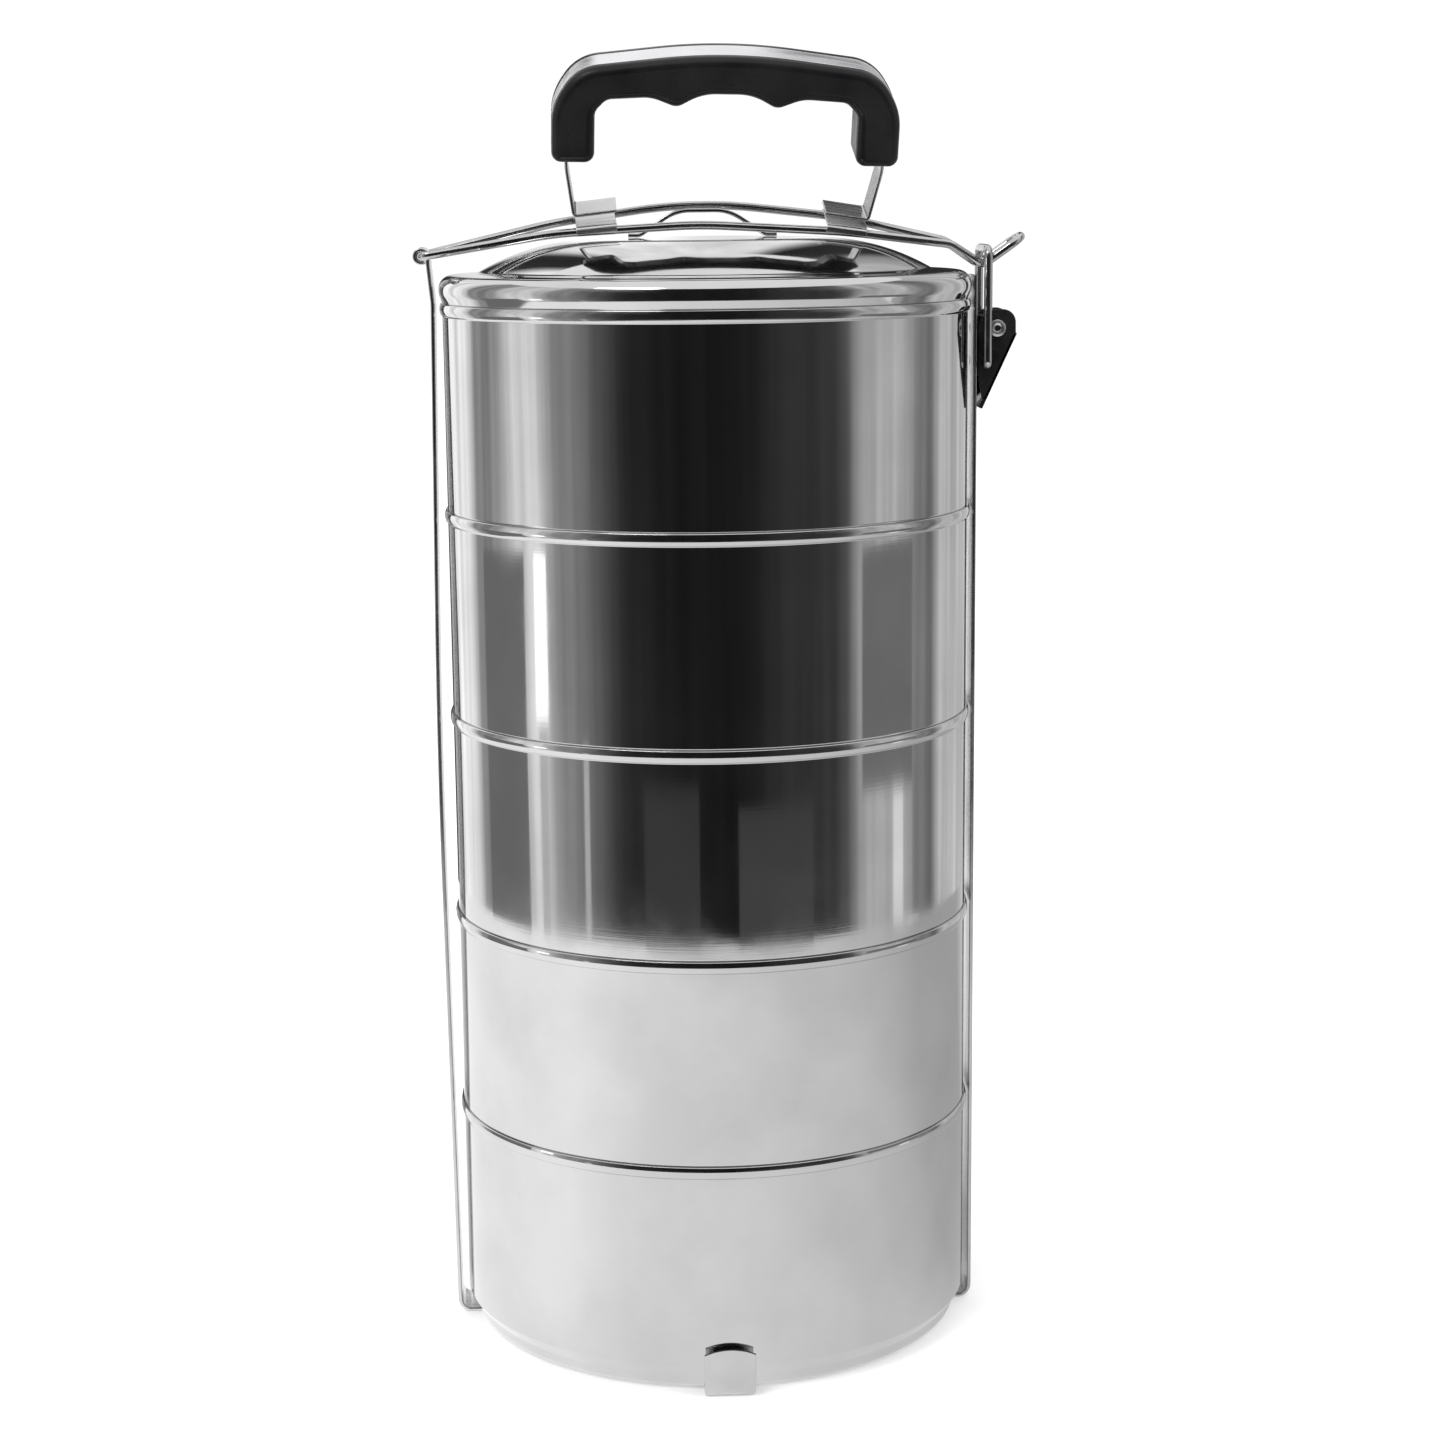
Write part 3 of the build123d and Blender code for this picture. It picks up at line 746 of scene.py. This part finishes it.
def wire_height(x, side):
    """Height of a long wire's corner line at x."""
    knots = [(p[0], p[2]) for p in bail_side(side)]
    for (x0, z0), (x1, z1) in zip(knots, knots[1:]):
        if x0 <= x <= x1:
            return z0 + (z1 - z0) * (x - x0) / (x1 - x0)
    raise ValueError("x is beyond the wires")


def clip_axes(x):
    """Matrix whose X runs along the two wires at x and whose Y runs across them."""
    step = clip_length / 2
    low = [wire_height(x - step, side) for side in (-1, 1)]
    high = [wire_height(x + step, side) for side in (-1, 1)]
    along = Vector((2 * step, 0, (sum(high) - sum(low)) / 2)).normalized()
    across = Vector((0, 2 * bail_spread, (low[1] + high[1] - low[0] - high[0]) / 2)).normalized()
    up = along.cross(across).normalized()
    across = up.cross(along)
    turn = Matrix((along, across, up)).transposed().to_4x4()
    return Matrix.Translation((x, 0, (sum(low) + sum(high)) / 4)) @ turn


def clip_outline():
    """Folded sheet in section: over both wires, with each edge turned down round its wire."""
    out = bail_spread + wire_radius + clip_sheet
    top = wire_radius + clip_sheet
    low = -0.4
    inner = out - clip_sheet
    points = [
        (-out, low),
        (-out, top),
        (out, top),
        (out, low),
        (inner, low),
        (inner, top - clip_sheet),
        (-inner, top - clip_sheet),
        (-inner, low),
    ]
    return rounded(points, [0.3, 1.68, 1.68, 0.3, 0.3, 0.9, 0.9, 0.3], step=15, close=True)


def wire_clips():
    """Two folded plates over the bail's wires."""
    across_to_x = Matrix.Rotation(math.radians(90), 4, "Z")
    half = clip_length / 2
    shape = placed(slab(clip_outline(), round_stations(-half, half, 0.2, 3)), across_to_x)
    for name, node in (("left", "wire_clip_left"), ("right", "wire_clip_right")):
        x = clip_left_x if name == "left" else clip_right_x
        moved = placed(shape, clip_axes(x))
        piece(f"{node}_plate", moved, "bail", "plated_steel", plate_steel, node)


def handle_strip():
    """Steel strip: a foot along each clip, two legs and the run inside the grip."""
    half = grip_length / 2 - 4.4
    top = grip_crown - 8.0
    foot = clip_length / 2
    rest = wire_radius + clip_sheet + handle_strip_thickness / 2
    left, right = clip_left_x - grip_centre_x, clip_right_x - grip_centre_x
    points = [
        (left + foot, 0, rest + 2.0),
        (left - foot - 0.6, 0, rest + 0.2),
        (-half, 0, grip_leg_bottom - 2),
        (-half, 0, top),
        (half, 0, top),
        (half, 0, grip_leg_bottom - 2),
        (right + foot + 0.6, 0, rest + 0.2),
        (right - foot, 0, rest + 2.0),
    ]
    path = rounded(points, [1.2, 20, 14, 14, 20, 1.2])
    shape = sweep(path, bar(handle_strip_width, handle_strip_thickness, 0.35), across=(0, 1, 0))
    shape = placed(shape, handle_place)
    piece("handle_strip_steel", shape, "bail", "strap_steel", strap_steel, "handle_strip")


def grip_top(inset=0.0):
    """Outer line of the grip from the bottom of its right leg, over the top, to its left leg."""
    half = grip_length / 2 - inset
    crown = grip_crown - inset
    corners = [
        (half, grip_leg_bottom),
        (half, crown - 15.6),
        (half - 7.4 + inset / 3, crown - 4.2),
        (0, crown + 1.2),
    ]
    others = [(-x, z) for x, z in corners[2::-1]]
    radii = [18 - inset, 14 - inset, 170, 14 - inset, 18 - inset]
    return rounded(corners + others, radii, step=3.0, chord=1.5)


def grip_hollow():
    """Finger space under the grip, with three scallops, from its left leg to its right leg."""
    half = grip_length / 2 - grip_leg_width
    ridge = 14.8
    corners = [
        (half, grip_leg_bottom),
        (half, grip_crown - 17.0),
        (half - 3.4, grip_crown - 13.4),
        (ridge + 7.7, grip_crown - 12.6),
        (ridge, grip_crown - 15.5),
        (ridge / 2, grip_crown - 11.4),
    ]
    others = [(-x, z) for x, z in reversed(corners)]
    radii = [4, 4, 12, 4, 16]
    return rounded(corners + others, radii + radii[::-1], step=5.0, chord=1.5)[::-1]


def leg_foot(outer, inner):
    """Rounded bottom of one leg, between two corners of the outline."""
    turn = grip_edge + 0.2
    up = Vector((0, 12))
    arc = rounded([outer + up, outer, inner, inner + up], [turn, turn], step=8.0)
    return arc[1:-1]


def grip_loop():
    """Whole closed outline of the grip."""
    top = grip_top()
    hollow = grip_hollow()
    left = leg_foot(top[-1], hollow[0])
    right = leg_foot(hollow[-1], top[0])
    return top[1:-1] + left + hollow[1:-1] + right


def handle_grip():
    """Moulded grip with rounded edges and a groove for the trim."""
    outline = grip_loop()
    on_top = len(grip_top()) - 2
    dips = []
    for i, point in enumerate(outline):
        dips.append(inlay_thickness if i < on_top and point.y > inlay_low else 0)
    rims = round_stations(-grip_depth / 2, grip_depth / 2, grip_edge, 7)
    half = len(rims) // 2
    groove = inlay_width / 2 + 0.12
    middle = [(-groove - 0.1, 0, 0), (-groove, 0, 1), (groove, 0, 1), (groove + 0.1, 0, 0)]
    stations = rims[:half] + middle + rims[half:]
    shape = slab(outline, stations, dips)
    piece(
        "handle_grip_moulding", placed(shape, handle_place), "bail", "black_plastic", plastic,
        "handle_grip",
    )


def handle_inlay():
    """Silver strip let into the top of the grip."""
    middle = [p for p in grip_top(inlay_thickness / 2) if p.y > inlay_low + 0.4]
    path = [Vector((p.x, 0, p.y)) for p in middle]
    shape = sweep(path, bar(inlay_width, inlay_thickness, 0.45), across=(0, 1, 0))
    piece("handle_inlay_trim", placed(shape, handle_place), "bail", "silver_trim", trim, "handle_inlay")


# --- studio ---------------------------------------------------------------------------------------
def bearing_ramp(tree, stops):
    """Grey level by bearing round the carrier. Stops are (degrees to the right of the front, level)."""
    place = tree.nodes.new("ShaderNodeTexCoord")
    split = tree.nodes.new("ShaderNodeSeparateXYZ")
    back = tree.nodes.new("ShaderNodeMath")
    back.operation = "MULTIPLY"
    back.inputs[1].default_value = -1
    angle = tree.nodes.new("ShaderNodeMath")
    angle.operation = "ARCTAN2"
    share = tree.nodes.new("ShaderNodeMapRange")
    share.inputs["From Min"].default_value = -math.pi
    share.inputs["From Max"].default_value = math.pi
    ramp = tree.nodes.new("ShaderNodeValToRGB")
    tree.links.new(place.outputs["Object"], split.inputs["Vector"])
    tree.links.new(split.outputs["Y"], back.inputs[0])
    tree.links.new(split.outputs["X"], angle.inputs[0])
    tree.links.new(back.outputs["Value"], angle.inputs[1])
    tree.links.new(angle.outputs["Value"], share.inputs["Value"])
    tree.links.new(share.outputs["Result"], ramp.inputs["Fac"])
    ends = ramp.color_ramp.elements
    for degrees, level in stops[1:-1]:
        ends.new((degrees + 180) / 360).color = (level, level, level, 1)
    ends[0].color = (*[stops[0][1]] * 3, 1)
    ends[-1].color = (*[stops[-1][1]] * 3, 1)
    return ramp.outputs["Color"]


wall_radius = 0.60
card_radius = 0.595
wall_height = 0.85
floor_shade_strength = 1.32

# How light the floor is in reflections, so that the lower bowls darken softly to the right.
floor_stops = [
    (-180, 0.86), (-60, 0.86), (-20, 0.74), (20, 0.64), (60, 0.56), (95, 0.40), (135, 0.34), (180, 0.86),
]

# Brightness of the room's walls in reflections.
wall_stops = [
    (-180, 0.95), (-171, 0.95), (-168, 0.03), (-160, 0.03), (-156, 1.05), (-124, 1.05), (-117, 0.30),
    (-105, 0.32), (-96, 0.70), (-76, 0.85), (-68, 0.40), (-50, 0.15), (-38, 0.04), (-24, 0.016),
    (10, 0.014), (26, 0.035), (48, 0.05), (56, 0.12), (63, 0.48), (87, 0.60), (96, 0.25), (106, 0.22),
    (114, 0.62), (150, 0.62), (158, 0.45), (161, 0.03), (168, 0.03), (171, 0.92), (180, 0.95),
]

# Cards in front of the walls: (from, to, low, high, level) in degrees and metres.
cards = [
    (-112, -85, 0.0, 0.185, 0.20),
    (-79.5, -73, 0.105, 0.185, 1.9),
    (-78, -74, 0.0, 0.105, 0.62),
    (-88.5, -86, 0.0, 0.10, 1.3),
    (-56, -53.5, 0.0, 0.095, 0.60),
    (63, 92, 0.07, 0.19, 0.20),
    (80, 86, 0.0, 0.07, 0.95),
    (-30, -8, 0.0, 0.08, 0.055),
    (8, 40, 0.0, 0.07, 0.07),
]


def stage_mesh(name, verts, faces, material):
    """Piece of the studio, which isn't part of the carrier."""
    mesh = bpy.data.meshes.new(name)
    mesh.from_pydata(verts, [], faces)
    mesh.materials.append(material)
    obj = bpy.data.objects.new(name, mesh)
    bpy.context.scene.collection.objects.link(obj)
    return obj


def only_reflected(obj):
    """Leaves an object in reflections alone."""
    obj.visible_camera = False
    obj.visible_diffuse = False
    obj.visible_shadow = False
    obj.visible_transmission = False


def floor():
    """Plain pale floor, lit to white."""
    look = Look("floor_paint", Roughness=0.8, Specular_IOR_Level=0.0)
    look.shader.inputs["Base Color"].default_value = (0.96, 0.96, 0.96, 1)
    look.shader.inputs["Emission Color"].default_value = (1, 1, 1, 1)
    look.shader.inputs["Emission Strength"].default_value = 0.16
    stage_mesh("floor", *square(6.0, 0), look.material)


def floor_shade():
    """Sheet just over the floor that only reflections see, darker to the right."""
    paint = glowing("floor_shade", stops=floor_stops, strength=floor_shade_strength)
    only_reflected(stage_mesh("floor_shade", *square(wall_radius, 0.0004), paint))


def square(half, z):
    """Level square, in metres."""
    return [(-half, -half, z), (half, -half, z), (half, half, z), (-half, half, z)], [(0, 1, 2, 3)]


def glowing(name, level=1.0, stops=None, strength=1.0, streaks=False):
    """Emission that is even or follows the bearing, with or without soft upright streaks."""
    material = bpy.data.materials.new(name)
    material.use_nodes = True
    tree = material.node_tree
    tree.nodes.clear()
    light = tree.nodes.new("ShaderNodeEmission")
    out = tree.nodes.new("ShaderNodeOutputMaterial")
    tree.links.new(light.outputs["Emission"], out.inputs["Surface"])
    light.inputs["Color"].default_value = (level, level, level, 1)
    light.inputs["Strength"].default_value = strength
    if stops:
        tree.links.new(bearing_ramp(tree, stops), light.inputs["Color"])
    if streaks:
        place = tree.nodes.new("ShaderNodeTexCoord")
        stretch = tree.nodes.new("ShaderNodeMapping")
        stretch.inputs["Scale"].default_value = (1, 1, 0.12)
        streak = tree.nodes.new("ShaderNodeTexNoise")
        streak.inputs["Scale"].default_value = 16
        streak.inputs["Detail"].default_value = 4
        range_ = tree.nodes.new("ShaderNodeMapRange")
        range_.inputs["From Min"].default_value = 0.3
        range_.inputs["From Max"].default_value = 0.7
        range_.inputs["To Min"].default_value = 0.72
        range_.inputs["To Max"].default_value = 1.28
        tree.links.new(place.outputs["Object"], stretch.inputs["Vector"])
        tree.links.new(stretch.outputs["Vector"], streak.inputs["Vector"])
        tree.links.new(streak.outputs["Fac"], range_.inputs["Value"])
        tree.links.new(range_.outputs["Result"], light.inputs["Strength"])
    return material


def curved_panel(start, stop, low, high, radius, count):
    """Upright panel round the carrier between two bearings, in metres."""
    verts = []
    for z in (low, high):
        for k in range(count + 1):
            a = math.radians(start + (stop - start) * k / count)
            verts.append((radius * math.sin(a), -radius * math.cos(a), z))
    faces = [(k, k + 1, count + 2 + k, count + 1 + k) for k in range(count)]
    return verts, faces


def walls():
    """Room of light and dark panels that only reflections see."""
    panel = curved_panel(-180, 180, 0.002, wall_height, wall_radius, 128)
    paint = glowing("studio_walls", stops=wall_stops, streaks=True)
    only_reflected(stage_mesh("studio_walls", *panel, paint))
    for i, (start, stop, low, high, level) in enumerate(cards):
        name = f"studio_card_{i + 1}"
        panel = curved_panel(start, stop, low + 0.002, high, card_radius, 12)
        only_reflected(stage_mesh(name, *panel, glowing(name, level=level)))


def area_light(name, place, size, power, reflected=True):
    """Soft square light that faces the middle of the carrier."""
    data = bpy.data.lights.new(name, "AREA")
    data.size = size
    data.energy = power
    obj = bpy.data.objects.new(name, data)
    obj.location = place
    obj.rotation_euler = (Vector((0, 0, 0.2)) - Vector(place)).to_track_quat("-Z", "Y").to_euler()
    obj.visible_glossy = reflected
    bpy.context.scene.collection.objects.link(obj)


def studio():
    """White room, floor, wrap and two soft lights."""
    world = bpy.data.worlds.new("white_room")
    world.use_nodes = True
    background = world.node_tree.nodes["Background"]
    background.inputs["Color"].default_value = (1, 1, 1, 1)
    background.inputs["Strength"].default_value = 1.02
    bpy.context.scene.world = world
    floor()
    floor_shade()
    walls()
    area_light("key", (-1.1, -1.2, 1.7), 0.9, 16)
    area_light("fill", (1.4, -0.9, 1.2), 0.8, 7)


def camera():
    """Long lens, a little left of square on, looking slightly down."""
    data = bpy.data.cameras.new("camera")
    data.sensor_width = 36.0
    data.lens = 72.13
    data.shift_x = 0.00864
    data.shift_y = 0.02253
    obj = bpy.data.objects.new("camera", data)
    bearing = math.radians(-2.9)
    distance = 0.8944
    place = Vector((math.sin(bearing) * distance, -math.cos(bearing) * distance, 0.3535))
    turn = (
        Matrix.Rotation(bearing, 4, "Z")
        @ Matrix.Rotation(math.radians(90 - 10.996), 4, "X")
        @ Matrix.Rotation(math.radians(-0.61), 4, "Z")
    )
    obj.matrix_world = Matrix.Translation(place) @ turn
    bpy.context.scene.collection.objects.link(obj)
    bpy.context.scene.camera = obj
    bpy.context.scene.view_settings.view_transform = "Standard"


def keep_cad(node, material):
    """A CAD node that stays as it is, with a better material."""
    obj = frame["nodes"][node]
    for i in range(len(obj.data.materials)):
        obj.data.materials[i] = material


bowls()
lid()
lid_handle()
side_strap()
cross_strap()
lever_pin()
latch_bracket()
latch_lever()
latch_link()
bail_wire()
wire_clips()
handle_strip()
handle_grip()
handle_inlay()
keep_cad("base_rivet", plate_steel)
keep_cad("bracket_rivets", plate_steel)
studio()
camera()
